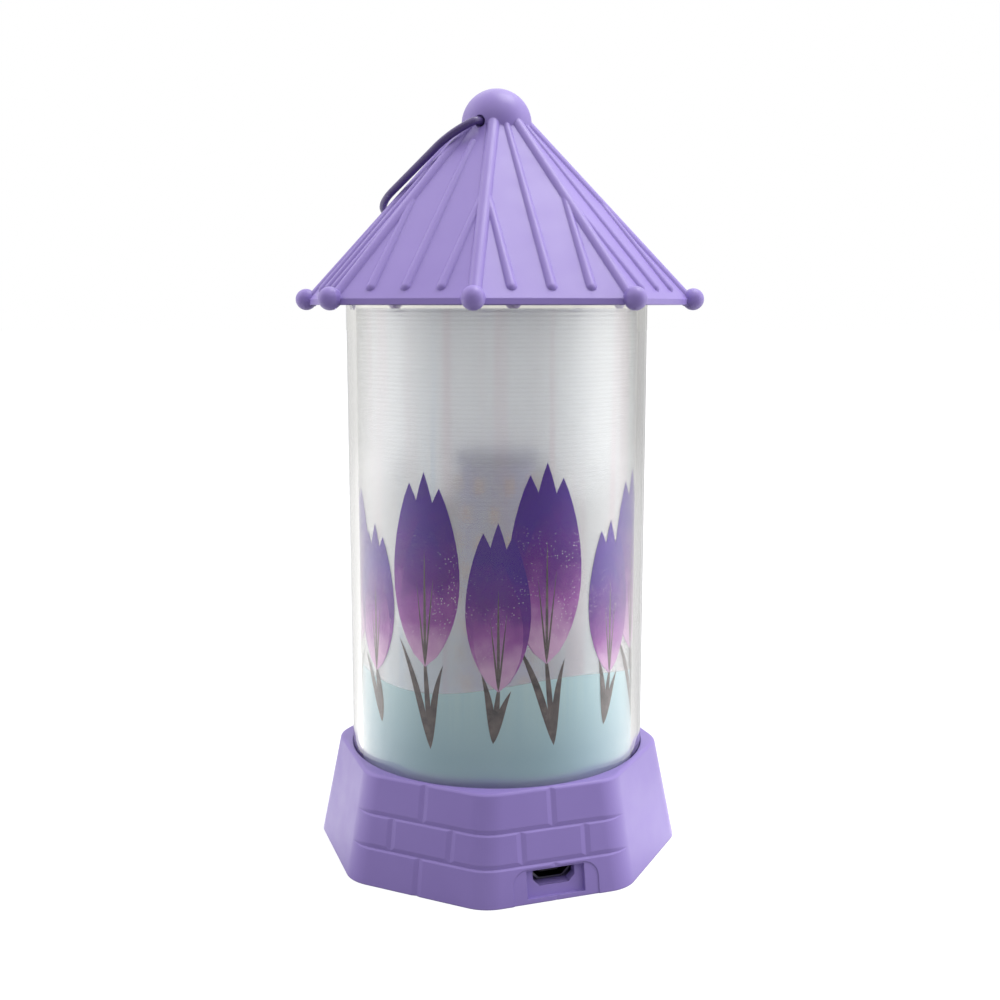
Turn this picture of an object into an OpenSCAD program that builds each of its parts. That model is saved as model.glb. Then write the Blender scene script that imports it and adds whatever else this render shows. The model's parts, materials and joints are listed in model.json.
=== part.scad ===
// LED flame lantern. An octagonal base with a brick pattern carries a clear tube lined with a
// printed film. A ribbed octagonal roof with a ball finial closes the tube, and an oval wire
// handle swings on the finial. A column of flame lamps stands inside the tube.
// Millimetres, +Z up. The origin is the middle of the base's underside.
// One corner of the base points to -Y, and the charging inlet is on the face to its right.

/* [Tube] */
// Outer diameter of the clear tube
tube_d = 60; // [52:1:72]
// Wall of the clear tube
tube_wall = 1.8; // [1.2:0.1:2.6]
// Height of tube that shows between the base and the roof
tube_view_h = 89.6; // [72:0.2:120]
// Depth of the tube in the base
tube_seat_h = 7.3; // [5:0.1:8]
// Depth of the tube in the roof
tube_cap_h = 2.8; // [2:0.1:3]
// Thickness of the printed film
film_t = 0.3; // [0.2:0.05:0.6]
// Distance from the roof down to the film's upper edge
film_drop = 0.7; // [0.2:0.1:3]

/* [Base] */
// Height of the base
base_h = 20.8; // [20:0.1:26]
// Width of the rim round the tube at the middle of a face
rim_w = 0.9; // [0.8:0.1:3]
// How far the bottom of a face stands out from its top
base_flare = 3.9; // [2:0.1:7]
// Radius of the upright corners
base_corner_r = 8; // [4:0.5:9]
// Radius of the rounded top edge
base_edge_r = 0.8; // [0.3:0.1:0.8]
// Wall of the base
base_wall = 1.6; // [1.4:0.1:2.2]
// Thickness of the shelf that carries the tube
shelf_t = 2; // [1.6:0.1:2.6]
// Radius of the hole in the shelf
shelf_hole_r = 19; // [16:0.5:19]

/* [Bricks] */
// Height of the bottom row of bricks
brick_low_h = 7; // [6.6:0.1:7.6]
// Height of the middle row of bricks
brick_mid_h = 6.3; // [5:0.1:7]
// Width of the middle row's bricks, as a share of the face
brick_share = 0.47; // [0.4:0.01:0.55]
// Depth of the joints between bricks
joint_depth = 0.3; // [0.2:0.05:0.45]
// Width of the upright joints
joint_w = 1.9; // [0.8:0.1:2.4]

/* [Charging inlet] */
// Width of the arched panel
panel_w = 17.2; // [14:0.1:19]
// Height of the arched panel
panel_h = 6.4; // [6.2:0.1:6.5]
// Depth of the arched panel
panel_depth = 0.15; // [0.1:0.05:0.3]
// Width of the recess for the plug
recess_w = 11.6; // [10.4:0.1:13]
// Height of the sill below the recess
recess_sill = 0.9; // [0.8:0.1:1.2]
// Height of the recess for the plug
recess_h = 5.2; // [5.1:0.1:5.4]
// Depth of the recess for the plug
recess_depth = 1.2; // [0.8:0.1:1.5]
// Width of the inlet socket
socket_w = 7.7; // [7.4:0.1:8]
// Height of the inlet socket
socket_h = 2.6; // [2.4:0.1:2.8]
// Length of the inlet socket
socket_l = 5.6; // [5:0.1:6.5]
// Wall of the inlet socket
socket_wall = 0.3; // [0.2:0.05:0.4]
// Height of the inlet's middle above the table
inlet_z = 4.2; // [4.1:0.05:4.25]

/* [Roof] */
// How far the eave stands out from the tube at the middle of a face
eave_reach = 5.57; // [4.8:0.05:9]
// Height of the upright band along the eave
fascia_h = 1.1; // [1:0.1:3]
// Height from the band to the point where the faces would meet
roof_rise = 40.6; // [36:0.1:46]
// Wall of the roof
roof_wall = 1.5; // [1.2:0.1:1.7]
// Turn of the roof against the base
roof_turn = -2.4; // [-10:0.1:10]
// Width of the bead along each ridge
ridge_w = 2.6; // [2:0.1:3.2]
// How far a ridge bead stands out
ridge_proud = 0.6; // [0.3:0.05:0.8]
// Width of a rib at its lower end
rib_low_w = 2.1; // [1.6:0.1:2.4]
// Width of a rib at its upper end
rib_high_w = 1.5; // [1:0.1:1.6]
// How far a rib stands out at its lower end
rib_proud = 0.7; // [0.3:0.05:0.8]
// Distance from the eave to the ends of the ribs
rib_start = 1.7; // [1.5:0.1:5]
// Diameter of the balls on the eave's corners
eave_ball_d = 4.3; // [3.4:0.1:5.4]
// Diameter of the ball finial
finial_d = 13.8; // [12:0.1:17]
// Wall of the finial
finial_wall = 2.2; // [1.6:0.1:2.6]

/* [Handle] */
// Diameter of the wire
wire_d = 1.5; // [1.2:0.1:1.8]
// How far the loop stands out beside the finial
loop_side = 3.9; // [3:0.1:6]
// Radius of the loop's far end
loop_far_r = 8.2; // [6:0.1:9]
// Distance from the pivot to the middle of the far end
loop_far = 21.5; // [19:0.1:28]
// Radius of the bends at the wire's ends
elbow_r = 1.6; // [1.3:0.1:2]
// Length of wire inside the finial, past its wall
pin_past = 0.8; // [0.4:0.1:1.5]

/* [Lamp column] */
// Height of the column above the deck
column_h = 64; // [48:1:68]
// Outer radius of the column's post
post_r = 7; // [6:0.1:9]
// Wall of the post
post_wall = 1.4; // [1:0.1:2]
// Thickness of the lamp board round the post
lamp_board_t = 0.7; // [0.4:0.1:1]
// Rows of lamps
lamp_rows = 10; // [6:1:11]
// Lamps in a row
lamp_cols = 8; // [6:1:10]
// Width of a lamp
lamp_w = 1.6; // [1.2:0.1:2]
// Height of a lamp
lamp_h = 3.2; // [2:0.1:3.6]
// Depth of a lamp
lamp_t = 0.8; // [0.5:0.1:1]
// Thickness of the lamp deck
deck_t = 1.8; // [1.4:0.1:2.4]

/* [Circuit] */
// Width of the main board
board_w = 16; // [15:0.5:16.5]
// Length of the main board
board_l = 19; // [18:0.5:19.5]
// Thickness of the main board
board_t = 1.2; // [0.8:0.1:1.6]
// Width of the battery cell
cell_w = 30; // [24:1:31]
// Length of the battery cell
cell_l = 30; // [22:1:31]
// Thickness of the battery cell
cell_t = 5.4; // [4:0.1:5.6]
// Diameter of the inner leads
lead_d = 1.1; // [0.8:0.1:1.3]

/* [Switch] */
// Length of the switch body
switch_l = 8; // [7.6:0.1:9]
// Width of the switch body
switch_w = 3.6; // [3.4:0.1:4.4]
// Travel of the knob
knob_travel = 2; // [1.5:0.1:2.2]
// Length of the knob
knob_l = 2.4; // [1.8:0.1:2.6]
// Width of the knob
knob_w = 1.6; // [1.2:0.1:1.8]

/* [Underside] */
// Depth of the cover inside the rim
cover_inset = 0.9; // [0.8:0.1:1]
// Thickness of the cover
cover_t = 1.7; // [1.6:0.1:1.8]
// Radius of the circle of cover screws
cover_screw_r = 29; // [28.5:0.1:29.5]

/* [Screws] */
// Thread diameter of the screws in the base
screw_d = 2; // [1.6:0.1:2.2]
// Head diameter of the screws in the base
screw_head_d = 3.8; // [3.2:0.1:4]
// Thread diameter of the board screws
board_screw_d = 1.6; // [1.4:0.1:1.8]
// Head diameter of the board screws
board_screw_head_d = 3; // [2.4:0.1:3.2]

/* [Fits] */
// Gap round pieces that are fixed in a seat
seat_gap = 0.15; // [0.05:0.05:0.25]
// Gap round the wire in the finial
pivot_gap = 0.06; // [0.03:0.01:0.1]
// Gap between pieces that move past each other
move_gap = 0.3; // [0.2:0.05:0.4]

/* [Hidden] */
$fn = 64;
eps = 0.02;
faces = 8;
face_turn = 360 / faces;
half_face = face_turn / 2;
// Angles of the faces that carry bricks, counted from the base's front corner
brick_faces = [-half_face, half_face, 180 - half_face, 180 + half_face];
inlet_face = half_face;

// Tube and film
tube_r = tube_d / 2;
tube_in_r = tube_r - tube_wall;
film_out_r = tube_in_r - seat_gap;
film_in_r = film_out_r - film_t;
shelf_z = base_h - tube_seat_h;
eave_z = base_h + tube_view_h;
tube_top_z = eave_z + tube_cap_h;
tube_bore_r = tube_r + seat_gap;

// Base
base_top_flat = tube_bore_r + rim_w;
base_low_flat = base_top_flat + base_flare;
base_tilt = atan(base_flare / base_h);
base_edge_steps = 4;
cover_top_z = cover_inset + cover_t;
shelf_low_z = shelf_z - shelf_t;
cavity_flat = base_flat_at(shelf_low_z) - base_wall;
cover_pocket_flat = base_flat_at(cover_top_z) - base_wall;
cover_flat = cover_pocket_flat - seat_gap;
boss_rim = 0.8;
boss_r = screw_head_d / 2 + boss_rim;
screw_pilot_r = screw_d / 2;
pilot_spare = 0.5;
cover_screw_l = 6;
deck_screw_r = 23;
deck_screw_l = 5;
deck_boss_h = 2;
deck_screw_angles = [-5, 115, 235];
cover_screw_angles = [0, 90, 180, 270];

// Screw heads and the cross recesses in them
head_t = 1.1;
drive_w = 0.45;
drive_t = 0.6;
drive_edge = 0.6;

// Bricks
half_brick = brick_share * base_flat_at(base_h / 2) * tan(half_face);
// The level joints have a short ledge below and a long slope above. They run out where a corner
// meets a plain face, and the upright ones end in them.
ledge_h = 0.35;
slope_h = 0.9;
joint_clear = 0.05;
joint_step = 0.08;
upright_depth = joint_depth - joint_step;
brick_top_z = brick_low_h + brick_mid_h;

// Charging inlet, in a frame whose -Y looks out of the inlet face
socket_gap = 0.35;
socket_top_z = inlet_z + socket_h / 2;
socket_set_back = 1.9;
socket_front = base_flat_at(inlet_z) - recess_depth - socket_set_back;
socket_chamfer = 1.25;
panel_corner_r = 3;
tongue_w = 3.8;
tongue_t = 0.7;
tongue_set_back = 1;
board_low_z = socket_top_z;
board_top_z = board_low_z + board_t;
board_clear = 0.6;
board_front = cavity_flat - board_clear;
board_back = board_front - board_l;
board_screw_edge = 2.3;
board_screw_back = 9.4;
board_boss_x = board_w / 2 - board_screw_edge;
board_boss_y = -(board_front - board_screw_back);
board_boss_r = 2;
board_screw_l = 4.2;
chip_w = 4;
chip_l = 5;
chip_t = 1.5;
cap_size = 1.4;
cap_row = 3;

// Switch, under the inner end of the board
switch_edge = 0.8;
switch_lift = 0.25;
switch_y = -(board_back + switch_w / 2 + switch_edge);
switch_low_z = cover_top_z + switch_lift;
switch_pocket_t = 1;
knob_low_z = 0.5;
slot_l = knob_l + knob_travel + 2 * move_gap;
slot_w = knob_w + 2 * move_gap;
dish_r = 4.5;
dish_t = 0.5;
knob_groove = 0.3;

// Battery
pad_t = 0.5;
pad_margin = 2;
cell_back = 25;
cell_y = cell_back - cell_l / 2;
cell_z = cover_top_z + pad_t;
cell_corner_r = 2;

// Inner leads: direction that none of them follows, and their places on the main board
lead_across = [1, 1, -1];
lead_stub = 1.4;
lead_sides = 8;
lead_pitch = 2.6;
lead_edge = 2;
battery_solder_x = -5.2;
lamp_solder_x = 2.6;
battery_lead_bow = [-0.3, 2, 1.6];
// Points that the lamp leads pass, below and above the shelf, and their way in the post
lamp_lead_low = [4, -7, shelf_low_z - 0.5];
lamp_lead_high = [2, -3, shelf_z + 0.5];
lamp_lead_in = 2;
lamp_lead_dip = 1.6;

// Column
deck_gap = 0.4;
deck_r = film_in_r - deck_gap;
deck_top_z = shelf_z + deck_t;
flange_w = 2.5;
flange_r = post_r + flange_w;
flange_t = 1.6;
post_in_r = post_r - post_wall;
post_top_z = deck_top_z + column_h;
lamp_board_lift = 0.6;
lamp_board_low_z = deck_top_z + flange_t + lamp_board_lift;
lamp_board_r = post_r + lamp_board_t;
lamp_pitch = (post_top_z - lamp_board_low_z) / (lamp_rows + 0.5);
lead_hole_up = 2.5;
lead_gap = 0.2;
lead_hole_z = lamp_board_low_z + lead_hole_up;
lead_hole_r = lead_d / 2 + lead_gap;
cap_t = 1.6;
cap_plug_h = 3;

// Roof
roof_flat = tube_r + eave_reach;
roof_corner_r = roof_flat / cos(half_face);
fascia_top_z = eave_z + fascia_h;
apex_z = fascia_top_z + roof_rise;
roof_slope = atan(roof_rise / roof_flat);
ridge_slope = atan(roof_rise / roof_corner_r);
face_len = roof_flat / cos(roof_slope);
rib_pitch = roof_flat * tan(half_face) / 2;
roof_in_apex_z = apex_z - roof_wall / cos(roof_slope);
finial_r = finial_d / 2;
finial_z = apex_z - finial_r;
ridge_sink = ridge_w / 2 - ridge_proud;
rib_sink = rib_low_w / 2 - rib_proud;
bead_lap = 0.4;
rib_lap = 0.8;
rib_pivot_room = 2.6;
plate_t = 1.4;
plate_lift = 0.2;
pocket_h = plate_lift + plate_t;
pocket_flat = roof_flat - roof_wall;
cap_wall = 0.95;
cap_disc_t = 1;
eave_ball_out = 0.4;

// Handle: circles of the loop's near and far ends, in the plane of the loop
pivot_az = roof_turn - half_face;
wire_r = wire_d / 2;
loop_near = finial_r;
loop_near_r = finial_r + loop_side;
loop_lean = asin((loop_near_r - loop_far_r) / (loop_far - loop_near));
elbow_u = sqrt(pow(loop_near_r - elbow_r, 2) - pow(loop_near - elbow_r, 2));
elbow_end = atan2(loop_near - elbow_r, elbow_u);
pin_end = finial_r - finial_wall - pin_past;
pin_lap = 0.8;
pin_r = wire_r + eps;
pivot_hole_r = pin_r + pivot_gap;
pivot_mouth_w = 0.3;
pivot_mouth_r = pivot_hole_r + pivot_mouth_w;
pivot_mouth_t = 0.8;
wire_sides = 16;
// The wire's centre line in its plane, from one pin to the middle of the far end, and back
loop_half = concat([[elbow_u - pin_lap, 0, 0]],
    arc([elbow_u, elbow_r, 0], elbow_r, -90, -elbow_end, 8),
    arc([0, loop_near, 0], loop_near_r, 4 - elbow_end, loop_lean, 14),
    arc([0, loop_far, 0], loop_far_r, loop_lean, 90, 16));
loop_other = [for (i = [len(loop_half) - 2:-1:0]) [-loop_half[i].x, loop_half[i].y, 0]];
loop_path = concat(loop_half, loop_other);
loop_relief = max(ridge_proud, rib_proud);
// The loop drops until its wire is a moving gap above the roof's beads and ribs
loop_drop = max([for (d = [0:0.1:80]) if (loop_clear(d) >= wire_r + loop_relief + move_gap) d]);

// Distance from the axis to the outside of the base, at the middle of a face
function base_flat_at(z) = base_low_flat - base_flare * z / base_h;

// Whether a face of the base carries bricks; the faces are counted from +X
function has_bricks(k) = floor((k + 1) / 2) % 2 == 1;

// Height of a loop point above the roof's faces, square to them, when the loop drops by d degrees
function point_clear(p, d) = let (z = finial_z - p.y * sin(d), out = p.y * cos(d))
    max([for (a = [-face_turn, 0, face_turn])
        (z - apex_z + tan(roof_slope) * (out * cos(a) + p.x * sin(a))) * cos(roof_slope)]);
function loop_clear(d) = min([for (p = loop_path) if (p.y > loop_near) point_clear(p, d)]);

// A point on a smooth curve through four points
function curve_point(a, b, c, d, t) = 0.5 * (2 * b + (c - a) * t
    + (2 * a - 5 * b + 4 * c - d) * t * t + (3 * b - a - 3 * c + d) * t * t * t);
function smooth(pts, n) = let (last = len(pts) - 1) [
    for (i = [0:last - 1], k = [0:n - 1])
        curve_point(pts[max(i - 1, 0)], pts[i], pts[i + 1], pts[min(i + 2, last)], k / n),
    pts[last]];
function unit(v) = v / norm(v);

// A lead's path: smooth between two straight ends
function lead_path(route) = let (last = len(route) - 1)
    concat([route[0]], smooth([for (i = [1:last - 1]) route[i]], 4), [route[last]]);

// A place for solder along the inner edge of the main board
function board_point(x) = let (y = -(board_back + lead_edge))
    [x * cos(inlet_face) - y * sin(inlet_face), x * sin(inlet_face) + y * cos(inlet_face),
        board_top_z];

// Points along an arc in a level plane
function arc(c, r, from, to, n) = [for (i = [0:n])
    let (a = from + (to - from) * i / n) c + r * [cos(a), sin(a), 0]];

// Direction of a path at one of its points
function step(pts, i) = unit(pts[i + 1] - pts[i]);
function heading(pts, i) = let (last = len(pts) - 1)
    i == 0 ? step(pts, 0) : i == last ? step(pts, last - 1) : unit(step(pts, i - 1) + step(pts, i));

// A turned frame whose -Y looks out of a face of the base or the roof
module at_face(angle) {
    rotate([0, 0, angle]) children();
}

// The plane of a base face: X along the face, Y up the face, Z outwards
module on_base_face(angle) {
    at_face(angle) translate([0, -base_low_flat, 0]) rotate([90 - base_tilt, 0, 0]) children();
}

// The plane of a roof face: X along the eave, Y up the face, Z outwards
module on_roof_face(angle) {
    at_face(angle) translate([0, -roof_flat, fascia_top_z]) rotate([roof_slope, 0, 0]) children();
}

// An eight-sided solid whose half width at each height follows one side of a profile
module octagon_form(side) {
    mirrored = [for (i = [len(side) - 1:-1:0]) [-side[i].x, side[i].y]];
    reach = 2 * max([for (p = side) p.x]);
    intersection_for (k = [0:faces / 2 - 1])
        rotate([0, 0, half_face + face_turn * k]) rotate([90, 0, 0])
            linear_extrude(2 * reach, center = true) polygon(concat(side, mirrored));
}

// A straight eight-sided plate
module octagon_plate(flat, h) {
    cylinder(r = flat / cos(half_face), h = h, $fn = faces);
}

module rounded_plate(w, l, h, r) {
    translate([-w / 2 + r, -l / 2, 0]) cube([w - 2 * r, l, h]);
    translate([-w / 2, -l / 2 + r, 0]) cube([w, l - 2 * r, h]);
    for (x = [-1, 1], y = [-1, 1])
        translate([x * (w / 2 - r), y * (l / 2 - r), 0]) cylinder(r = r, h = h);
}

module tube(r_out, r_in, h) {
    difference() {
        cylinder(r = r_out, h = h);
        translate([0, 0, -1]) cylinder(r = r_in, h = h + 2);
    }
}

// A round wire swept along points that never run along the direction across
module swept(pts, d, sides, across) {
    last = len(pts) - 1;
    rings = [for (i = [0:last])
        let (t = heading(pts, i), s = unit(cross(t, across)), n = cross(s, t))
        for (k = [0:sides - 1])
            pts[i] + d / 2 * (cos(360 * k / sides) * s + sin(360 * k / sides) * n)];
    walls = [for (i = [0:last - 1], k = [0:sides - 1])
        let (a = i * sides + k, b = i * sides + (k + 1) % sides)
        each [[a, b, b + sides], [a, b + sides, a + sides]]];
    start_cap = [for (k = [1:sides - 2]) [0, k + 1, k]];
    end = last * sides;
    end_cap = [for (k = [1:sides - 2]) [end, end + k, end + k + 1]];
    polyhedron(rings, concat(walls, start_cap, end_cap));
}

// A screw with its head below and its point up, and a cross recess in the head
module screw(d, head_d, l) {
    drive_l = head_d - 2 * drive_edge;
    difference() {
        union() {
            cylinder(d = head_d, h = head_t);
            cylinder(d = d, h = head_t + l);
        }
        cube([drive_l, drive_w, 2 * drive_t], center = true);
        cube([drive_w, drive_l, 2 * drive_t], center = true);
    }
}

// Corner posts of one level of the base's outside, whose faces can be set in
module base_level(z, flat, bricks_in = 0, plain_in = 0) {
    r = min(base_corner_r, flat / 2);
    post_flats = [for (k = [0:faces - 1]) flat - r - (has_bricks(k) ? bricks_in : plain_in)];
    for (k = [0:faces - 1]) {
        a = post_flats[k];
        b = post_flats[(k + faces - 1) % faces];
        rotate([0, 0, face_turn * k])
            translate([(a + b) / 2 / cos(half_face), (a - b) / 2 / sin(half_face), z])
                cylinder(r = r, h = eps, $fn = 96);
    }
}

module base_outside() {
    hull() {
        base_level(0, base_low_flat);
        for (a = [0:90 / base_edge_steps:90])
            base_level(base_h - eps - base_edge_r * (1 - sin(a)),
                base_flat_at(base_h - base_edge_r) - base_edge_r * (1 - cos(a)));
    }
}

// What a level joint takes off the faces with bricks
module level_joint(z) {
    difference() {
        translate([0, 0, z - 1.5 * ledge_h])
            cylinder(r = 2 * base_low_flat, h = 1.5 * (ledge_h + slope_h));
        for (h = [-2 * ledge_h, 2 * slope_h]) hull() {
            base_level(z, base_flat_at(z), joint_depth, -joint_clear);
            base_level(z + h, base_flat_at(z + h), -joint_depth, -joint_depth);
        }
    }
}

// A V-shaped joint up a base face
module upright_joint(x, y0, y1) {
    translate([x, y0, 0]) rotate([-90, 0, 0]) linear_extrude(y1 - y0)
        polygon([[-joint_w, -upright_depth], [joint_w, -upright_depth], [0, upright_depth]]);
}

// Upright joints of the three rows of bricks on one face
module upright_joints() {
    up = 1 / cos(base_tilt);
    upright_joint(0, -1, brick_low_h * up);
    for (x = [-half_brick, half_brick]) upright_joint(x, brick_low_h * up, brick_top_z * up);
    upright_joint(0, brick_top_z * up, base_h * up + 1);
}

module brick_joints() {
    for (z = [brick_low_h, brick_top_z]) level_joint(z);
    for (f = brick_faces) on_base_face(f) upright_joints();
}

// The inlet's outline: straight below, cut off at the lower corners
module inlet_outline(grow) {
    w = socket_w / 2 + grow;
    h = socket_h / 2 + grow;
    c = socket_chamfer;
    polygon([[-w, h], [-w, -h + c], [-w + c, -h], [w - c, -h], [w, -h + c], [w, h]]);
}

module panel_outline() {
    r = panel_corner_r;
    translate([-panel_w / 2, -1]) square([panel_w, panel_h - r + 1]);
    translate([-panel_w / 2 + r, 0]) square([panel_w - 2 * r, panel_h]);
    for (x = [-1, 1]) translate([x * (panel_w / 2 - r), panel_h - r]) circle(r = r);
}

module inlet_cuts() {
    on_base_face(inlet_face) {
        translate([0, 0, -panel_depth]) linear_extrude(2) panel_outline();
        translate([-recess_w / 2, recess_sill, -recess_depth]) cube([recess_w, recess_h, 4]);
    }
    at_face(inlet_face) translate([0, 0, inlet_z]) rotate([90, 0, 0])
        linear_extrude(base_low_flat + 2) inlet_outline(socket_gap);
}

// Places of the screws round the base
module at_cover_screws() {
    for (a = cover_screw_angles) rotate([0, 0, a]) translate([0, -cover_screw_r, 0]) children();
}

module at_deck_screws() {
    for (a = deck_screw_angles) rotate([0, 0, a]) translate([0, -deck_screw_r, 0]) children();
}

module at_board_screws() {
    at_face(inlet_face) for (x = [-board_boss_x, board_boss_x])
        translate([x, board_boss_y, 0]) children();
}

module base_shell() {
    color("mediumpurple") difference() {
        union() {
            difference() {
                base_outside();
                translate([0, 0, -1]) octagon_plate(cover_pocket_flat, cover_top_z + 1);
                translate([0, 0, cover_top_z - eps])
                    octagon_plate(cavity_flat, shelf_low_z - cover_top_z + eps);
                translate([0, 0, shelf_z]) cylinder(r = tube_bore_r, h = tube_seat_h + 1, $fn = 128);
                cylinder(r = shelf_hole_r, h = base_h);
                brick_joints();
            }
            at_cover_screws() translate([0, 0, cover_top_z])
                cylinder(r = boss_r, h = shelf_low_z + eps - cover_top_z);
            at_deck_screws() translate([0, 0, shelf_low_z - deck_boss_h])
                cylinder(r = boss_r, h = deck_boss_h + eps);
            at_board_screws() translate([0, 0, board_top_z])
                cylinder(r = board_boss_r, h = shelf_low_z + eps - board_top_z);
        }
        inlet_cuts();
        at_cover_screws() translate([0, 0, cover_top_z - 1])
            cylinder(r = screw_pilot_r, h = cover_screw_l + 1 + pilot_spare);
        at_deck_screws() translate([0, 0, shelf_low_z - deck_boss_h - 1])
            cylinder(r = screw_pilot_r, h = shelf_t + deck_boss_h + 2);
        at_board_screws() translate([0, 0, board_top_z - 1])
            cylinder(r = board_screw_d / 2, h = board_screw_l + pilot_spare);
    }
}

module base_cover() {
    color("rebeccapurple") difference() {
        translate([0, 0, cover_inset]) octagon_plate(cover_flat, cover_t);
        at_cover_screws() translate([0, 0, cover_inset - 1]) {
            cylinder(r = screw_pilot_r + seat_gap, h = cover_t + 2);
            cylinder(r = screw_head_d / 2 + seat_gap, h = head_t + 1);
        }
        at_face(inlet_face) translate([0, switch_y, cover_inset]) {
            translate([-slot_l / 2, -slot_w / 2, -1]) cube([slot_l, slot_w, cover_t + 2]);
            translate([0, 0, -1]) cylinder(r = dish_r, h = dish_t + 1);
        }
    }
}

module cover_screws() {
    color("silver") at_cover_screws() translate([0, 0, cover_inset])
        screw(screw_d, screw_head_d, cover_screw_l);
}

module lamp_deck() {
    color("white") difference() {
        translate([0, 0, shelf_z]) cylinder(r = deck_r, h = deck_t);
        cylinder(r = post_r + seat_gap, h = base_h);
        at_deck_screws() cylinder(r = screw_pilot_r + seat_gap, h = base_h);
    }
}

module deck_screws() {
    color("silver") at_deck_screws() translate([0, 0, deck_top_z + head_t]) mirror([0, 0, 1])
        screw(screw_d, screw_head_d, deck_screw_l);
}

module column_post() {
    color("black") difference() {
        union() {
            translate([0, 0, shelf_z]) cylinder(r = post_r, h = post_top_z - shelf_z);
            translate([0, 0, deck_top_z]) cylinder(r = flange_r, h = flange_t);
        }
        cylinder(r = post_in_r, h = post_top_z + 1);
        translate([0, 0, lead_hole_z]) rotate([0, 90, 0])
            cylinder(r = lead_hole_r, h = 2 * flange_r, center = true);
    }
}

module flame_board() {
    color("midnightblue") translate([0, 0, lamp_board_low_z])
        tube(lamp_board_r, post_r, post_top_z - lamp_board_low_z);
}

module flame_leds() {
    color("orange") difference() {
        for (row = [0:lamp_rows - 1], col = [0:lamp_cols - 1])
            rotate([0, 0, 360 * (col + 0.5 * (row % 2)) / lamp_cols])
                translate([-lamp_w / 2, 0, lamp_board_low_z + lamp_pitch * (row + 0.75) - lamp_h / 2])
                    cube([lamp_w, lamp_board_r + lamp_t, lamp_h]);
        translate([0, 0, lamp_board_low_z]) cylinder(r = lamp_board_r, h = column_h);
    }
}

module column_cap() {
    color("black") {
        translate([0, 0, post_top_z]) cylinder(r = lamp_board_r + lamp_t, h = cap_t);
        translate([0, 0, post_top_z - cap_plug_h]) cylinder(r = post_in_r - seat_gap, h = cap_plug_h + eps);
    }
}

module main_board() {
    color("darkgreen") difference() {
        at_face(inlet_face) translate([-board_w / 2, -board_front, board_low_z])
            cube([board_w, board_l, board_t]);
        at_board_screws() cylinder(r = board_screw_d / 2 + seat_gap, h = base_h);
    }
}

module board_chips() {
    color("dimgray") at_face(inlet_face) {
        translate([-chip_w / 2, board_boss_y - chip_l / 2, board_top_z]) cube([chip_w, chip_l, chip_t]);
        for (x = [-2:2]) translate([x * 2 * cap_size - cap_size / 2, -board_front + cap_row, board_top_z])
            cube([cap_size, 2 * cap_size, cap_size]);
    }
}

module board_screws() {
    color("silver") at_board_screws() translate([0, 0, board_low_z - head_t])
        screw(board_screw_d, board_screw_head_d, board_t + board_screw_l - 1);
}

module usb_socket() {
    color("lightsteelblue") at_face(inlet_face)
        translate([0, -socket_front + socket_l, inlet_z]) rotate([90, 0, 0]) difference() {
            linear_extrude(socket_l) inlet_outline(0);
            translate([0, 0, socket_wall]) linear_extrude(socket_l) inlet_outline(-socket_wall);
        }
}

module usb_tongue() {
    color("black") at_face(inlet_face)
        translate([-tongue_w / 2, -socket_front + tongue_set_back, inlet_z - tongue_t / 2])
            cube([tongue_w, socket_l - socket_wall - tongue_set_back, tongue_t]);
}

module battery_pad() {
    color("gray") translate([0, cell_y, cover_top_z])
        rounded_plate(cell_w - 2 * pad_margin, cell_l - 2 * pad_margin, pad_t, cell_corner_r);
}

module battery_cell() {
    color("silver") translate([0, cell_y, cell_z])
        rounded_plate(cell_w, cell_l, cell_t, cell_corner_r);
}

// A lead from the cell's front edge to the top of the board
module battery_lead(side) {
    at_end = [side * lead_pitch / 2, cell_y - cell_l / 2, cell_z + cell_t - lead_d];
    solder = board_point(battery_solder_x + side * lead_pitch / 2);
    swept(lead_path([at_end, at_end + [0, -lead_stub, 0], solder + battery_lead_bow,
        solder + [0, 0, lead_stub], solder]), lead_d, lead_sides, lead_across);
}

module battery_lead_red() {
    color("red") battery_lead(1);
}

module battery_lead_black() {
    color("black") battery_lead(-1);
}

// A lead from the board up through the post to the lamp board
module lamp_lead(side) {
    solder = board_point(lamp_solder_x + side * lead_pitch / 2);
    inside = side * (post_in_r - lamp_lead_in);
    lamp_end = sqrt(pow(post_r, 2) - pow(lead_d / 2, 2));
    swept(lead_path([solder, solder + [0, 0, lead_stub], lamp_lead_low + [side, 0, 0],
        lamp_lead_high + [side, 0, 0], [inside, 0, lead_hole_z - lamp_lead_dip],
        [side * (lamp_end - lead_stub), 0, lead_hole_z], [side * lamp_end, 0, lead_hole_z]]),
        lead_d, lead_sides, lead_across);
}

module lamp_lead_red() {
    color("red") lamp_lead(1);
}

module lamp_lead_black() {
    color("black") lamp_lead(-1);
}

module switch_body() {
    color("silver") at_face(inlet_face) translate([0, switch_y, 0]) difference() {
        translate([-switch_l / 2, -switch_w / 2, switch_low_z])
            cube([switch_l, switch_w, board_low_z - switch_low_z]);
        translate([-slot_l / 2, -slot_w / 2, switch_low_z - 1])
            cube([slot_l, slot_w, switch_pocket_t + move_gap + 1]);
    }
}

module switch_knob() {
    color("black") at_face(inlet_face)
        translate([-(knob_l + knob_travel) / 2, switch_y - knob_w / 2, knob_low_z]) difference() {
            cube([knob_l, knob_w, switch_low_z + switch_pocket_t - knob_low_z]);
            for (i = [1:3]) translate([i * knob_l / 4, 0, 0]) rotate([0, 45, 0])
                cube([knob_groove, 3 * knob_w, knob_groove], center = true);
        }
}

module clear_tube() {
    color("lightcyan", 0.4) translate([0, 0, shelf_z])
        tube(tube_r, tube_in_r, tube_top_z - shelf_z, $fn = 128);
}

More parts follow.
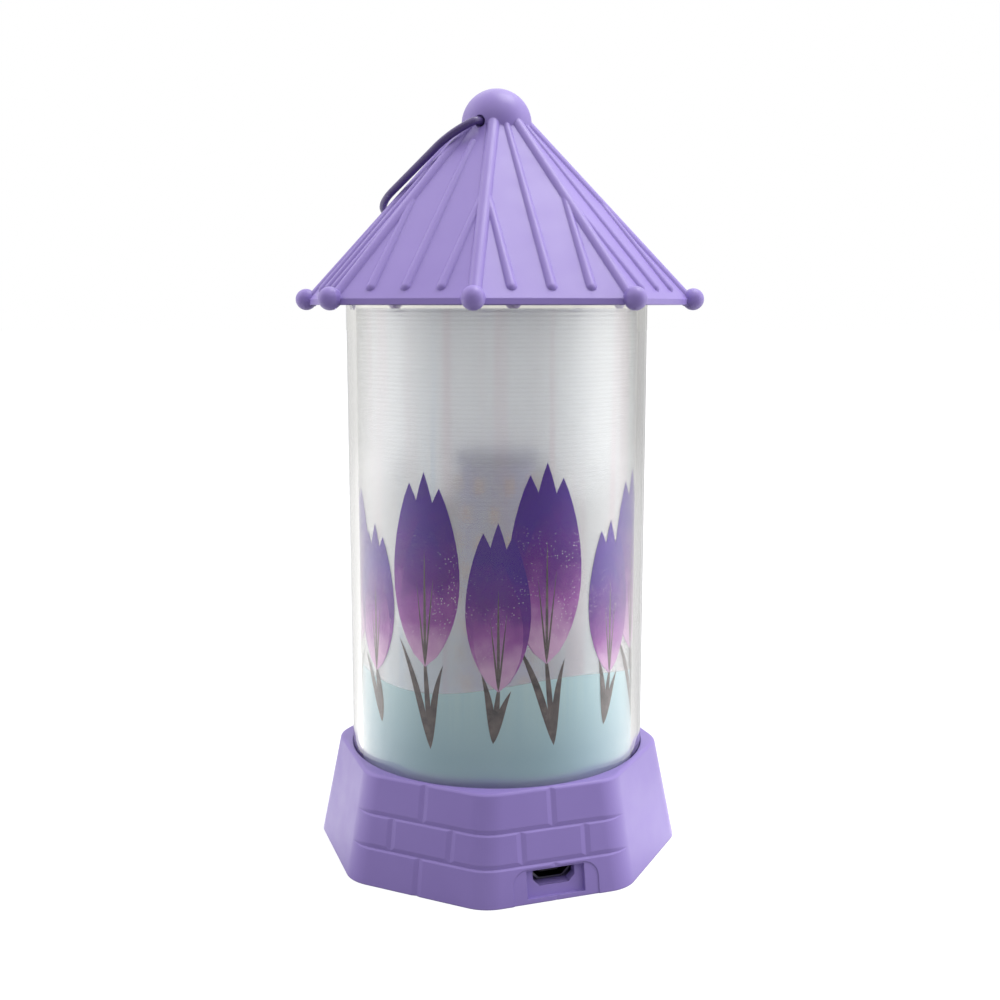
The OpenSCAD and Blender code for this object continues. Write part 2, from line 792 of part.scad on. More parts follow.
module scene_film() {
    color("lavender") translate([0, 0, shelf_z])
        tube(film_out_r, film_in_r, eave_z - film_drop - shelf_z, $fn = 128);
}

module roof_plate() {
    color("mediumpurple") rotate([0, 0, roof_turn]) difference() {
        union() {
            translate([0, 0, eave_z + plate_lift]) octagon_plate(pocket_flat - seat_gap, plate_t);
            translate([0, 0, eave_z + plate_lift])
                cylinder(r = tube_bore_r + cap_wall, h = tube_top_z + cap_disc_t - eave_z - plate_lift);
        }
        translate([0, 0, eave_z - 1]) cylinder(r = tube_bore_r, h = tube_cap_h + 1, $fn = 128);
    }
}

// A bead along the ridge at the front corner of the roof
module ridge_bead() {
    inner = finial_r - finial_wall - bead_lap;
    l = (roof_corner_r - inner) / cos(ridge_slope);
    translate([0, -roof_corner_r, fascia_top_z]) rotate([ridge_slope, 0, 0])
        translate([0, 0, -ridge_sink]) rotate([-90, 0, 0]) cylinder(d = ridge_w, h = l);
}

// A tapered rib with a round lower end, lying in a roof face
module rib(x, l) {
    low_r = rib_low_w / 2;
    translate([x, rib_start + low_r, -rib_sink]) rotate([-90, 0, 0]) {
        sphere(r = low_r);
        cylinder(r1 = low_r, r2 = rib_high_w / 2, h = l - rib_start - low_r);
    }
}

// The three ribs of one face; the middle one stops short of a pivot hole
module face_ribs(has_pivot) {
    side_l = face_len / 2 - rib_high_w;
    stop_r = has_pivot ? finial_r + rib_pivot_room : finial_r - rib_lap;
    rib(0, (roof_flat - stop_r) / cos(roof_slope));
    for (x = [-rib_pitch, rib_pitch]) rib(x, side_l);
}

module roof_inside() {
    pocket_top = eave_z + pocket_h;
    inner_low = (roof_in_apex_z - pocket_top) / tan(roof_slope);
    octagon_form([[pocket_flat, eave_z - 1], [pocket_flat, pocket_top],
        [inner_low, pocket_top], [0, roof_in_apex_z]]);
}

// The holes for the wire's ends, each with a wider mouth
module pivot_holes() {
    rotate([0, 0, -half_face]) translate([0, 0, finial_z]) rotate([90, 0, 0]) {
        cylinder(r = pivot_hole_r, h = 4 * finial_r, center = true);
        for (side = [0, 1]) mirror([0, 0, side]) translate([0, 0, finial_r - pivot_mouth_t])
            cylinder(r = pivot_mouth_r, h = finial_r);
    }
}

module roof_shell() {
    color("mediumpurple") rotate([0, 0, roof_turn]) difference() {
        union() {
            octagon_form([[roof_flat, eave_z], [roof_flat, fascia_top_z], [0, apex_z]]);
            for (k = [0:faces - 1]) {
                rotate([0, 0, face_turn * k]) {
                    ridge_bead();
                    translate([0, -roof_corner_r - eave_ball_out, fascia_top_z])
                        sphere(d = eave_ball_d);
                }
                on_roof_face(face_turn * k - half_face) face_ribs(k % (faces / 2) == 0);
            }
            translate([0, 0, finial_z]) sphere(d = finial_d);
        }
        roof_inside();
        translate([0, 0, finial_z]) sphere(r = finial_r - finial_wall);
        pivot_holes();
    }
}

// The wire loop with a round pin at each end
module bail_wire() {
    color("indigo") rotate([0, 0, pivot_az]) translate([0, 0, finial_z])
        rotate([0, -loop_drop, 0]) rotate([0, 0, 90]) {
            swept(loop_path, wire_d, wire_sides, [0, 0, 1]);
            for (side = [0, 1]) mirror([side, 0, 0]) translate([pin_end, 0, 0]) rotate([0, 90, 0])
                cylinder(r = pin_r, h = elbow_u - pin_lap / 4 - pin_end);
        }
}

base_shell();
base_cover();
cover_screws();
lamp_deck();
deck_screws();
column_post();
flame_board();
flame_leds();
column_cap();
main_board();
board_chips();
board_screws();
usb_socket();
usb_tongue();
battery_cell();
battery_pad();
battery_lead_red();
battery_lead_black();
lamp_lead_red();
lamp_lead_black();
switch_body();
switch_knob();
clear_tube();
scene_film();
roof_plate();
roof_shell();
bail_wire();
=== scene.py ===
"""LED flame lantern: finishes, the film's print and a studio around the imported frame.

Metres, in the part's own frame: +Z up, the origin in the middle of the base's underside, a corner of
the base towards -Y and the charging inlet on the face to its right.
"""
import json
import math

import bmesh
import bpy
from mathutils import Matrix, Vector


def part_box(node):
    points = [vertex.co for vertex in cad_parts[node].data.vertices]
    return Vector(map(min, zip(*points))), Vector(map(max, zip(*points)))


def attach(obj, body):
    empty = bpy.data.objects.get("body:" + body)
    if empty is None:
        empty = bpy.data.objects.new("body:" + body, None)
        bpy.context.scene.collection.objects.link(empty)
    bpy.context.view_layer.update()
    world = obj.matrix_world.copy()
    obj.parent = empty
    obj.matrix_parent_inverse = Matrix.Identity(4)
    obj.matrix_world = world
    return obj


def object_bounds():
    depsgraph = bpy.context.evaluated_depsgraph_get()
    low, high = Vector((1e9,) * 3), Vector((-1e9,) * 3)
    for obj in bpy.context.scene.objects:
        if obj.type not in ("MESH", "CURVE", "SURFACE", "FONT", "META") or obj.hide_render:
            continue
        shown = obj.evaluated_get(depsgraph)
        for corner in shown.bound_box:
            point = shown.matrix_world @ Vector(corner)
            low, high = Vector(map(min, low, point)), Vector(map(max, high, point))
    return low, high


MM = 0.001
scene = bpy.context.scene
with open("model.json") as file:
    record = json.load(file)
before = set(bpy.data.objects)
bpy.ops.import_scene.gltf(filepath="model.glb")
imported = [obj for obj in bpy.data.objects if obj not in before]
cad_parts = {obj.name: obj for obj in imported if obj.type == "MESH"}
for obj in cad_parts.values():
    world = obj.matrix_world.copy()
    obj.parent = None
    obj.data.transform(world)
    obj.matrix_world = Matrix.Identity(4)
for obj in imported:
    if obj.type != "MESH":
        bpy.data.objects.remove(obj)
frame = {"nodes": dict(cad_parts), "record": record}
cad_low, cad_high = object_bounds()
nodes = frame["nodes"]


# Camera, fitted to the corners of the base and the roof
FRAME_PX = 1000
FOCAL_PX = 1264
SENSOR_MM = 36
CAMERA_AT = Vector((15.8, -255.6, 109.9)) * MM
CAMERA_TURN = 3.39
CAMERA_DOWN = 8.66

# Studio
LAMPS = {
    # name: (place, size across, size up, watts, colour, mirrored by gloss)
    "softbox_left": ((-0.60, 0.14, 0.34), 0.40, 0.60, 1.8, (1.0, 0.98, 0.96), False),
    "softbox_right": ((0.60, 0.14, 0.34), 0.40, 0.60, 2.1, (0.97, 0.98, 1.0), False),
    "softbox_top": ((0.20, 0.10, 0.70), 0.35, 0.35, 1.6, (1.0, 1.0, 1.0), True),
}
LAMP_AIM = Vector((0, 0, 0.075))

# Brightness of the room to matt surfaces, to gloss, and behind the tube and the film
ROOM_FRONT = 0.34
ROOM_SIDE = 0.80
ROOM_BACK = 0.90
ROOM_TOP = 1.00
ROOM_LEAN = 0.26
CLEAR_BACK = 1.42
GLOSS_FRONT = 0.50
GLOSS_SIDE = 1.76
GLOSS_LEAN = 0.15
GLOSS_TOP = 1.75
GLOSS_BACK = 0.80
FLAG_SHADE = 0.40

# Where one part of the room turns into the next, as parts of a heading of length 1
FRONT_TO_SIDE = (-0.90, 0.10)
SIDE_TO_BACK = (0.15, 0.75)
GLOSS_TO_BACK = (0.20, 0.80)
WALLS_TO_TOP = (0.30, 0.80)
FLAG_EDGE = (0.14, 0.28)

# Faces that a ray passes in the tube's wall alone, and through tube and film twice
WALL_FACES = 2
WALLS_THROUGH = 8

FLOOR_R = 6.0
FLOOR_SIDES = 64
FLOOR_GAP = 0.02 * MM
FLOOR_FADE = (0.06, 0.30)
FLOOR_SHOWN = 0.80
FLOOR_LIT = 0.25


def srgb(red, green, blue):
    """A linear colour from 8-bit numbers."""
    def linear(level):
        share = level / 255
        return share / 12.92 if share <= 0.04045 else ((share + 0.055) / 1.055) ** 2.4
    return (linear(red), linear(green), linear(blue), 1.0)


# Node helpers
def add(tree, kind, inputs=None, **settings):
    """A new node with its settings, and its inputs set or linked."""
    made = tree.nodes.new(kind)
    for key, value in settings.items():
        setattr(made, key, value)
    for key, value in (inputs or {}).items():
        feed(tree, made.inputs[key], value)
    return made


def feed(tree, socket, value):
    if isinstance(value, bpy.types.NodeSocket):
        tree.links.new(value, socket)
    else:
        socket.default_value = value


def maths(tree, operation, first, second=0.0):
    return add(tree, "ShaderNodeMath", {0: first, 1: second}, operation=operation).outputs[0]


def span(tree, value, from_low, from_high, to_low, to_high, smooth=False):
    """A value carried from one range to another, held at the ends."""
    kind = "SMOOTHSTEP" if smooth else "LINEAR"
    return add(tree, "ShaderNodeMapRange", {
        "Value": value, "From Min": from_low, "From Max": from_high,
        "To Min": to_low, "To Max": to_high,
    }, interpolation_type=kind).outputs["Result"]


def blend_colours(tree, share, first, second):
    mixed = add(tree, "ShaderNodeMix", data_type="RGBA")
    feed(tree, mixed.inputs["Factor"], share)
    feed(tree, mixed.inputs["A"], first)
    feed(tree, mixed.inputs["B"], second)
    return mixed.outputs["Result"]


def ramp(tree, value, stops):
    made = add(tree, "ShaderNodeValToRGB", {"Fac": value})
    elements = made.color_ramp.elements
    while len(elements) < len(stops):
        elements.new(0.5)
    for element, (place, colour) in zip(elements, stops):
        element.position = place
        element.color = colour
    return made.outputs["Color"]


def noise(tree, vector, scale, detail=2.0):
    inputs = {"Vector": vector, "Scale": scale, "Detail": detail}
    return add(tree, "ShaderNodeTexNoise", inputs).outputs["Fac"]


def place_of(tree):
    return add(tree, "ShaderNodeTexCoord").outputs["Object"]


def new_material(name, **constants):
    """A material with one Principled shader; constants go straight on its sockets."""
    material = bpy.data.materials.new(name)
    material.use_nodes = True
    tree = material.node_tree
    shader = tree.nodes["Principled BSDF"]
    for key, value in constants.items():
        shader.inputs[key.replace("_", " ").title().replace("Ior", "IOR")].default_value = value
    return material, tree, shader


def bumped(tree, shader, height, strength, distance, rounding=None):
    """Links a bump to a shader, over edges rounded by the given radius."""
    bump = add(tree, "ShaderNodeBump", {"Height": height, "Strength": strength, "Distance": distance})
    if rounding:
        soft = add(tree, "ShaderNodeBevel", {"Radius": rounding}, samples=4)
        feed(tree, bump.inputs["Normal"], soft.outputs["Normal"])
    feed(tree, shader.inputs["Normal"], bump.outputs["Normal"])


def plain(name, colour, roughness, grain_scale, variation=0.12, grain=0.04, **constants):
    """A material whose colour, gloss and surface vary a little with a fine grain."""
    material, tree, shader = new_material(name, **constants)
    place = place_of(tree)
    cloud = noise(tree, place, 90.0, 3.0)
    shade = [level * (1 - variation) for level in colour[:3]] + [1.0]
    feed(tree, shader.inputs["Base Color"], ramp(tree, cloud, [(0.35, shade), (0.65, colour)]))
    feed(tree, shader.inputs["Roughness"], span(
        tree, cloud, 0.3, 0.7, roughness * 0.85, roughness * 1.15))
    bumped(tree, shader, noise(tree, place, grain_scale), grain, 0.00005)
    return material


# Materials
def lilac_plastic():
    material, tree, shader = new_material("lilac_plastic", ior=1.50)
    place = place_of(tree)
    flow = noise(tree, place, 45.0, 3.0)
    feed(tree, shader.inputs["Base Color"], ramp(tree, flow, [
        (0.3, srgb(146, 126, 198)), (0.7, srgb(152, 132, 204))]))
    feed(tree, shader.inputs["Roughness"], span(tree, noise(tree, place, 220.0), 0.3, 0.7, 0.34, 0.42))
    bumped(tree, shader, noise(tree, place, 2600.0), 0.10, 0.00004, 0.00028)
    return material


def painted_wire():
    material, tree, shader = new_material("painted_wire", ior=1.5)
    place = place_of(tree)
    worn = span(tree, noise(tree, place, 700.0, 4.0), 0.66, 0.72, 0.0, 1.0)
    feed(tree, shader.inputs["Base Color"], blend_colours(
        tree, worn, srgb(80, 62, 120), srgb(110, 94, 148)))
    feed(tree, shader.inputs["Roughness"], span(tree, noise(tree, place, 400.0), 0.3, 0.7, 0.24, 0.36))
    bumped(tree, shader, noise(tree, place, 1800.0), 0.08, 0.00003, 0.0004)
    return material


def clear_plastic():
    material, tree, shader = new_material(
        "clear_plastic", transmission_weight=1.0, ior=1.49, base_color=srgb(248, 247, 243))
    place = place_of(tree)
    feed(tree, shader.inputs["Roughness"], span(tree, noise(tree, place, 160.0), 0.4, 0.7, 0.015, 0.04))
    bumped(tree, shader, noise(tree, place, 70.0, 1.0), 0.05, 0.0001)
    return material


GROUND_TOP = 39.5 * MM
GROUND_LOW = 26 * MM
# Heights over which the film's foot fades into a painted reflection of the lilac base
BASE_REFLECTION_FADE = (20 * MM, 23 * MM)
GROUND_SWELL = 1.6 * MM
GROUND_WAVES = 3
GROUND_EDGE = 0.2 * MM
GROOVE_PITCH = 0.80 * MM
GROOVE_DEPTH = 0.03 * MM
GROOVE_STRENGTH = 0.30
INK_METAL = 0.55

# Bare film, then its printed ground
FILM_METAL = (0.26, 0.15)
FILM_CLEAR = (0.92, 0.05)
FILM_ROUGH = (0.255, 0.28)

# Glitter in the ink: from the edge of a speck to its middle, and where it ends towards the tips
GLITTER_SPECK = (0.22, 0.14)
GLITTER_FADE = (0.65, 0.85)


def printed_film():
    """Silvery film with fine level grooves, a pale ground printed round its foot, and a painted
    reflection of the lilac base at the very foot.
    """
    material, tree, shader = new_material("printed_film", ior=1.45, specular_ior_level=0.1)
    x, y, z = add(tree, "ShaderNodeSeparateXYZ", {0: place_of(tree)}).outputs
    turn = maths(tree, "ARCTAN2", x, y)

    around = add(tree, "ShaderNodeCombineXYZ", {
        "X": maths(tree, "MULTIPLY", x, 300.0), "Y": maths(tree, "MULTIPLY", y, 300.0),
        "Z": maths(tree, "MULTIPLY", z, 6.0)}).outputs[0]
    streak = noise(tree, around, 1.0, 4.0)
    silver = ramp(tree, streak, [
        (0.30, srgb(243, 235, 243)), (0.45, srgb(243, 246, 251)), (0.60, srgb(244, 247, 252)),
        (0.74, srgb(228, 238, 251))])

    swell = maths(tree, "SINE", maths(tree, "MULTIPLY", turn, GROUND_WAVES))
    top = maths(tree, "ADD", maths(tree, "MULTIPLY", swell, GROUND_SWELL), GROUND_TOP)
    depth = maths(tree, "SUBTRACT", top, z)
    ground = span(tree, depth, 0.0, GROUND_EDGE, 0.0, 1.0)
    grass = noise(tree, around, 3.0, 3.0)
    sunk = span(tree, z, GROUND_LOW, GROUND_TOP, 1.0, 0.0)
    # Painted reflection and painted light: the film's lowest few millimetres turn a paler lilac-blue,
    # standing in for the lilac base mirrored in the film and for light in the shaded seat
    foot = span(tree, z, *BASE_REFLECTION_FADE, 1.0, 0.0, smooth=True)
    pale = ramp(tree, grass, [(0.3, srgb(202, 238, 252)), (0.7, srgb(214, 245, 254))])
    blue = blend_colours(tree, sunk, pale, srgb(178, 214, 232))
    blue = blend_colours(tree, foot, blue, srgb(184, 190, 232))
    feed(tree, shader.inputs["Base Color"], blend_colours(tree, ground, silver, blue))

    feed(tree, shader.inputs["Metallic"], span(tree, ground, 0.0, 1.0, *FILM_METAL))
    feed(tree, shader.inputs["Transmission Weight"], span(tree, ground, 0.0, 1.0, *FILM_CLEAR))
    feed(tree, shader.inputs["Roughness"], span(tree, ground, 0.0, 1.0, *FILM_ROUGH))
    groove = maths(tree, "SINE", maths(tree, "MULTIPLY", z, 2 * math.pi / GROOVE_PITCH))
    bare = maths(tree, "SUBTRACT", 1.0, ground)
    bumped(tree, shader, maths(tree, "MULTIPLY", groove, bare), GROOVE_STRENGTH, GROOVE_DEPTH)
    return material


def printed_purple():
    """Ink that fades from deep purple at the tips to pale mauve, with fine glitter."""
    material, tree, shader = new_material("printed_purple", metallic=INK_METAL, specular_ior_level=0.0)
    height = add(tree, "ShaderNodeAttribute", attribute_name="height").outputs["Fac"]
    island = add(tree, "ShaderNodeNewGeometry").outputs["Random Per Island"]
    place = place_of(tree)
    stain = noise(tree, place, 260.0, 3.0)
    level = maths(tree, "ADD", height, span(tree, island, 0.0, 1.0, -0.09, 0.09))
    level = maths(tree, "ADD", level, span(tree, stain, 0.3, 0.7, -0.06, 0.06))
    ink = ramp(tree, level, [
        (0.02, srgb(214, 172, 218)), (0.28, srgb(160, 84, 178)), (0.52, srgb(102, 0, 148)),
        (0.85, srgb(72, 0, 156))])
    spark = add(tree, "ShaderNodeTexVoronoi", {"Vector": place, "Scale": 1800.0}).outputs["Distance"]
    patch = span(tree, noise(tree, place, 120.0), 0.44, 0.60, 0.0, 1.0)
    glitter = maths(tree, "MULTIPLY", span(tree, spark, *GLITTER_SPECK, 0.0, 1.0), patch)
    glitter = maths(tree, "MULTIPLY", glitter, span(tree, height, *GLITTER_FADE, 1.0, 0.0))
    feed(tree, shader.inputs["Base Color"], blend_colours(tree, glitter, ink, srgb(226, 214, 232)))
    feed(tree, shader.inputs["Roughness"], span(tree, stain, 0.3, 0.7, 0.34, 0.46))
    return material


def printed_stem():
    material, tree, shader = new_material("printed_stem", metallic=INK_METAL, specular_ior_level=0.0)
    place = place_of(tree)
    grain = noise(tree, place, 500.0, 3.0)
    feed(tree, shader.inputs["Base Color"], ramp(tree, grain, [
        (0.3, srgb(72, 66, 70)), (0.7, srgb(120, 108, 110))]))
    feed(tree, shader.inputs["Roughness"], span(tree, grain, 0.3, 0.7, 0.4, 0.5))
    return material


def steel(name, colour, roughness):
    material, tree, shader = new_material(name, metallic=1.0)
    place = place_of(tree)
    brushed = noise(tree, place, 900.0, 4.0)
    shade = [level * 0.8 for level in colour[:3]] + [1.0]
    feed(tree, shader.inputs["Base Color"], ramp(tree, brushed, [(0.35, shade), (0.65, colour)]))
    feed(tree, shader.inputs["Roughness"], span(
        tree, brushed, 0.3, 0.7, roughness * 0.8, roughness * 1.2))
    bumped(tree, shader, brushed, 0.06, 0.00003)
    return material


FINISHES = {
    "lilac_plastic": lilac_plastic(),
    "painted_wire": painted_wire(),
    "clear_plastic": clear_plastic(),
    "printed_film": printed_film(),
    "white_plastic": plain("white_plastic", srgb(226, 226, 222), 0.45, 1500.0, 0.05),
    "black_plastic": plain("black_plastic", srgb(40, 37, 46), 0.45, 1500.0),
    "lamp_board": plain("lamp_board", srgb(118, 98, 216), 0.32, 900.0),
    "lamp_amber": plain("lamp_amber", srgb(222, 122, 52), 0.22, 900.0, 0.10),
    "green_board": plain("green_board", srgb(30, 96, 56), 0.35, 1200.0, 0.2),
    "chip_black": plain("chip_black", srgb(38, 38, 40), 0.55, 2600.0),
    "screw_steel": steel("screw_steel", srgb(196, 196, 198), 0.30),
    "socket_steel": steel("socket_steel", srgb(104, 102, 112), 0.34),
    "cell_foil": plain("cell_foil", srgb(196, 198, 202), 0.34, 700.0, 0.1, 0.2, metallic=0.8),
    "foam_pad": plain("foam_pad", srgb(84, 84, 88), 0.9, 1800.0, 0.3, 0.6),
    "lead_red": plain("lead_red", srgb(178, 30, 26), 0.42, 1200.0),
    "lead_black": plain("lead_black", srgb(30, 30, 32), 0.42, 1200.0),
}


def finish_nodes():
    """Every carried-over node takes the finish of its slot in the record; the column's is a paler
    lilac, a painted reflection of the surroundings seen through the film.
    """
    # Painted reflection: the column takes a lilac that stands in for the purple surroundings reflected
    # by the film in front of it, not its own colour, which is not known
    column = plain("column_painted_reflection", srgb(98, 84, 176), 0.45, 1500.0)
    for row in frame["record"]["subparts"]:
        body = nodes[row["node"]]
        body.data.materials.clear()
        body.data.materials.append(FINISHES[row["material_slot"]])
    for name in ("column_post", "column_cap"):
        nodes[name].data.materials[0] = column
    for name in ("clear_tube", "scene_film"):
        nodes[name].visible_shadow = False


def new_piece(name, mesh, material, body="lantern"):
    piece = bpy.data.objects.new(name, mesh)
    scene.collection.objects.link(piece)
    mesh.materials.append(material)
    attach(piece, body)
    return piece


# The film's print: pointed tulips on a pale ground, laid on the outside of the film
FILM_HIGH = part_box("scene_film")[1]
PRINT_LIFT = 0.01 * MM
PRINT_R = FILM_HIGH.x + PRINT_LIFT
LAYER = 0.006 * MM
TULIPS = [
    # along the film from its front, foot, cup's foot, tip and lean, in millimetres
    (-82, 28, 43, 76, 2), (-70, 30, 40, 70, -2), (-58, 28, 44, 81, -1.5), (-46, 29, 40, 71, 1.5),
    (-34.5, 28, 43, 78, 1.5), (-23, 30, 40, 69, -1.5), (-11, 27, 43, 80, -1), (1, 29, 39, 71, 1),
    (12.5, 28, 44, 82, -1.5), (24, 30, 40, 70, 1.5), (35.5, 28, 43, 79, -2), (47.5, 29, 40, 70, 2),
    (59, 28, 44, 81, 1), (71, 30, 40, 71, -1), (82.5, 28, 43, 78, -2),
]
PETALS = [
    # fan in degrees, length and width as shares of the bloom's, layer, shift of tone
    (0, 1.0, 0.62, 1, 0.16), (-8, 0.95, 0.78, 2, 0.06),
    (8, 0.93, 0.78, 2, 0.02), (0, 0.80, 0.84, 3, -0.07),
]
TULIP_LAYERS = 6
BLOOM_W = 0.34
BLADE_ROWS = 14
BLADE_COLUMNS = 12
PETAL_CURL = -0.05
STEM_W = 1.1 * MM
STEM_REACH = 1.25
LEAVES = [
    # fan in degrees, length as a share of the stem's rise
    (-9, 1.35), (7, 1.05),
]
LEAF_CURL = 0.10
LEAF_W = 1.4 * MM
VEINS = [
    # fan in degrees, length as a share of the bloom's, width in millimetres
    (0, 0.62, 0.55), (-6, 0.44, 0.35), (6, 0.48, 0.35),
]
VEIN_LAYER = 4
VEIN_FULLEST = 0.3


def wrap(along, up, layer):
    """The point of the film's outside at a distance along it from its front, and a height."""
    radius = PRINT_R + layer * LAYER
    return Vector((radius * math.sin(along / PRINT_R), -radius * math.cos(along / PRINT_R), up))


def blade(mesh, heights, foot, fan, length, width, layer, tone=(0.0, 1.0), curl=0.0, fullest=0.42):
    """A pointed leaf shape laid on the film, whose tone runs from its foot to its tip."""
    turn = math.radians(fan)
    bend = math.copysign(curl * length, curl * fan) if fan else 0.0
    power = math.log(0.5) / math.log(fullest)
    rows = []
    for step in range(BLADE_ROWS + 1):
        share = step / BLADE_ROWS
        along = foot[0] + length * share * math.sin(turn) + bend * share ** 3
        up = foot[1] + length * share * math.cos(turn)
        half = width / 2 * math.sin(math.pi * share ** power) ** 0.85
        columns = 0 if step in (0, BLADE_ROWS) else BLADE_COLUMNS
        row = []
        for column in range(columns + 1):
            side = half * (2 * column / BLADE_COLUMNS - 1)
            corner = mesh.verts.new(wrap(
                along + side * math.cos(turn), up - side * math.sin(turn), layer))
            corner[heights] = tone[0] + (tone[1] - tone[0]) * share
            row.append(corner)
        rows.append(row if columns else row * (BLADE_COLUMNS + 1))
    for low, high in zip(rows, rows[1:]):
        for column in range(BLADE_COLUMNS):
            corners = (low[column], low[column + 1], high[column + 1], high[column])
            mesh.faces.new(dict.fromkeys(corners))


def tulips():
    """Each tulip's foot, cup and bloom length on the film, and its first layer."""
    for index, (along, foot, cup, tip, lean) in enumerate(TULIPS):
        first = TULIP_LAYERS * (index % 2)
        yield (along * MM, foot * MM), ((along + lean) * MM, cup * MM), (tip - cup) * MM, first


def fill_petals(mesh, heights):
    for _, cup, bloom, first in tulips():
        for fan, length, width, layer, shift in PETALS:
            blade(mesh, heights, cup, fan, bloom * length, bloom * BLOOM_W * width, first + layer,
                  (shift, 1 + shift), PETAL_CURL)


def fill_stems(mesh, heights):
    for foot, cup, bloom, first in tulips():
        rise = cup[1] - foot[1]
        slope = math.degrees(math.atan2(cup[0] - foot[0], rise))
        blade(mesh, heights, foot, slope, rise * STEM_REACH, STEM_W, first)
        for fan, length in LEAVES:
            blade(mesh, heights, foot, fan + slope, rise * length, LEAF_W, first, curl=LEAF_CURL)
        for fan, length, width in VEINS:
            blade(mesh, heights, cup, fan, bloom * length, width * MM, first + VEIN_LAYER,
                  fullest=VEIN_FULLEST)


def print_piece(name, material, fill):
    mesh = bmesh.new()
    heights = mesh.verts.layers.float.new("height")
    fill(mesh, heights)
    data = bpy.data.meshes.new(name)
    mesh.to_mesh(data)
    mesh.free()
    return new_piece(name, data, material)


def make_print():
    print_piece("print_petals", printed_purple(), fill_petals)
    print_piece("print_stems", printed_stem(), fill_stems)


# Stage
def make_camera():
    data = bpy.data.cameras.new("camera")
    data.sensor_width = SENSOR_MM
    data.lens = SENSOR_MM * FOCAL_PX / FRAME_PX
    data.clip_start = 0.01
    camera = bpy.data.objects.new("camera", data)
    turn = Matrix.Rotation(math.radians(CAMERA_TURN), 4, "Z")
    tilt = Matrix.Rotation(math.radians(90 - CAMERA_DOWN), 4, "X")
    camera.matrix_world = Matrix.Translation(CAMERA_AT) @ turn @ tilt
    scene.collection.objects.link(camera)
    scene.camera = camera


def make_lamps():
    for name, (place, across, up, watts, colour, mirrored) in LAMPS.items():
        data = bpy.data.lights.new(name, "AREA")
        data.shape = "RECTANGLE"
        data.size = across
        data.size_y = up
        data.energy = watts
        data.color = colour
        lamp = bpy.data.objects.new(name, data)
        lamp.visible_glossy = mirrored
        lamp.visible_transmission = False
        lamp.location = place
        lamp.rotation_euler = (LAMP_AIM - lamp.location).to_track_quat("-Z", "Y").to_euler()
        scene.collection.objects.link(lamp)


def room_glow(tree, right, back, up):
    """Brightness of the room by heading: dim in front, bright at the sides, most of all to gloss.

    The tube's wall sees a dark flag at the right, which draws its edge, and what is seen through the
    tube and the film twice has a bright backdrop.
    """
    path = add(tree, "ShaderNodeLightPath").outputs
    soft = span(tree, back, *FRONT_TO_SIDE, ROOM_FRONT, ROOM_SIDE, smooth=True)
    soft = span(tree, back, *SIDE_TO_BACK, soft, ROOM_BACK, smooth=True)
    soft = span(tree, up, *WALLS_TO_TOP, soft, ROOM_TOP, smooth=True)
    lean = span(tree, right, -1.0, 1.0, 1 - ROOM_LEAN, 1 + ROOM_LEAN)
    soft = maths(tree, "MULTIPLY", soft, lean)
    side = span(tree, right, -1.0, 1.0, GLOSS_SIDE - GLOSS_LEAN, GLOSS_SIDE + GLOSS_LEAN)
    shine = span(tree, back, *FRONT_TO_SIDE, GLOSS_FRONT, side, smooth=True)
    shine = span(tree, back, *GLOSS_TO_BACK, shine, GLOSS_BACK, smooth=True)
    shine = span(tree, up, *WALLS_TO_TOP, shine, GLOSS_TOP, smooth=True)
    seen_through = maths(tree, "GREATER_THAN", path["Transmission Depth"], WALLS_THROUGH - 0.5)
    shine = span(tree, seen_through, 0.0, 1.0, shine, CLEAR_BACK)
    direct = maths(tree, "LESS_THAN", path["Diffuse Depth"], 0.5)
    mirrored = maths(tree, "MULTIPLY", path["Is Glossy Ray"], direct)
    glow = span(tree, mirrored, 0.0, 1.0, soft, shine)
    in_wall = maths(tree, "COMPARE", path["Transmission Depth"], WALL_FACES)
    flag = maths(tree, "MULTIPLY", span(tree, right, *FLAG_EDGE, 0.0, FLAG_SHADE), in_wall)
    return maths(tree, "MULTIPLY", glow, maths(tree, "SUBTRACT", 1.0, flag)), path["Is Camera Ray"]


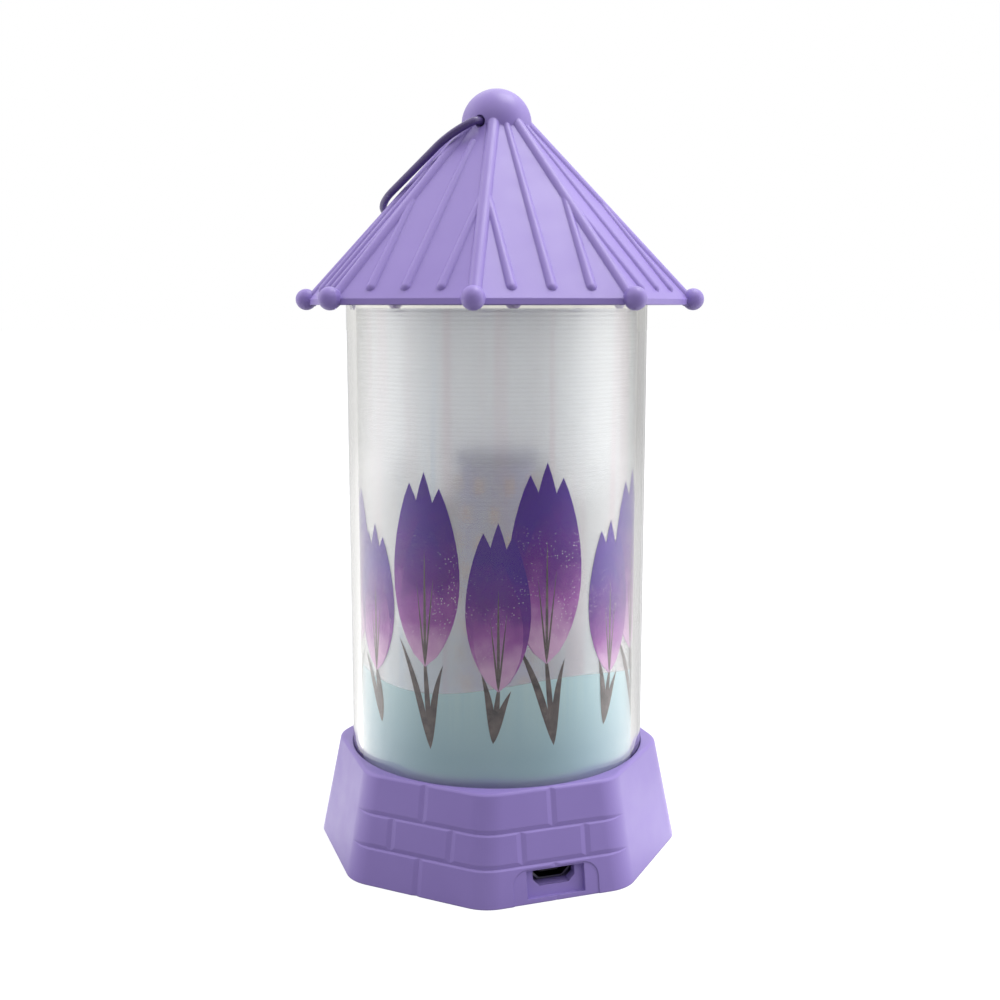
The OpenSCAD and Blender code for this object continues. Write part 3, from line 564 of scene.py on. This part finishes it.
def make_world():
    """White to the camera, a studio room to everything else."""
    world = bpy.data.worlds.new("studio")
    world.use_nodes = True
    tree = world.node_tree
    heading = add(tree, "ShaderNodeTexCoord").outputs["Generated"]
    glow, camera = room_glow(tree, *add(tree, "ShaderNodeSeparateXYZ", {0: heading}).outputs)
    background = tree.nodes["Background"]
    background.inputs["Color"].default_value = (1, 1, 1, 1)
    feed(tree, background.inputs["Strength"], maths(tree, "MAXIMUM", glow, camera))
    scene.world = world


def make_floor():
    """A pale floor that fades to white away from the object."""
    mesh = bpy.data.meshes.new("floor")
    disc = bmesh.new()
    bmesh.ops.create_circle(disc, cap_ends=True, segments=FLOOR_SIDES, radius=FLOOR_R)
    disc.to_mesh(mesh)
    disc.free()
    floor = bpy.data.objects.new("floor", mesh)
    floor.location.z = cad_low.z - FLOOR_GAP
    scene.collection.objects.link(floor)
    material, tree, shader = new_material("floor", base_color=srgb(150, 150, 152), roughness=0.9)
    shader.inputs["Specular IOR Level"].default_value = 0.0
    shader.inputs["Emission Color"].default_value = (1, 1, 1, 1)
    place = place_of(tree)
    away = add(tree, "ShaderNodeVectorMath", {0: place}, operation="LENGTH").outputs["Value"]
    heading = add(tree, "ShaderNodeVectorMath", {0: place}, operation="NORMALIZE").outputs["Vector"]
    right, back, _ = add(tree, "ShaderNodeSeparateXYZ", {0: heading}).outputs
    room, camera = room_glow(tree, right, back, 0.0)
    diffuse = add(tree, "ShaderNodeLightPath").outputs["Is Diffuse Ray"]
    shown = span(tree, away, *FLOOR_FADE, FLOOR_SHOWN, 1.0)
    mirrored = maths(tree, "MAXIMUM", maths(tree, "SUBTRACT", room, FLOOR_LIT), 0.0)
    glow = add(tree, "ShaderNodeMix", {"Factor": camera, "A": mirrored, "B": shown}).outputs["Result"]
    glow = maths(tree, "MULTIPLY", glow, maths(tree, "SUBTRACT", 1.0, diffuse))
    feed(tree, shader.inputs["Emission Strength"], glow)
    mesh.materials.append(material)


scene.view_settings.view_transform = "Standard"
make_camera()
make_lamps()
make_world()
make_floor()
finish_nodes()
make_print()
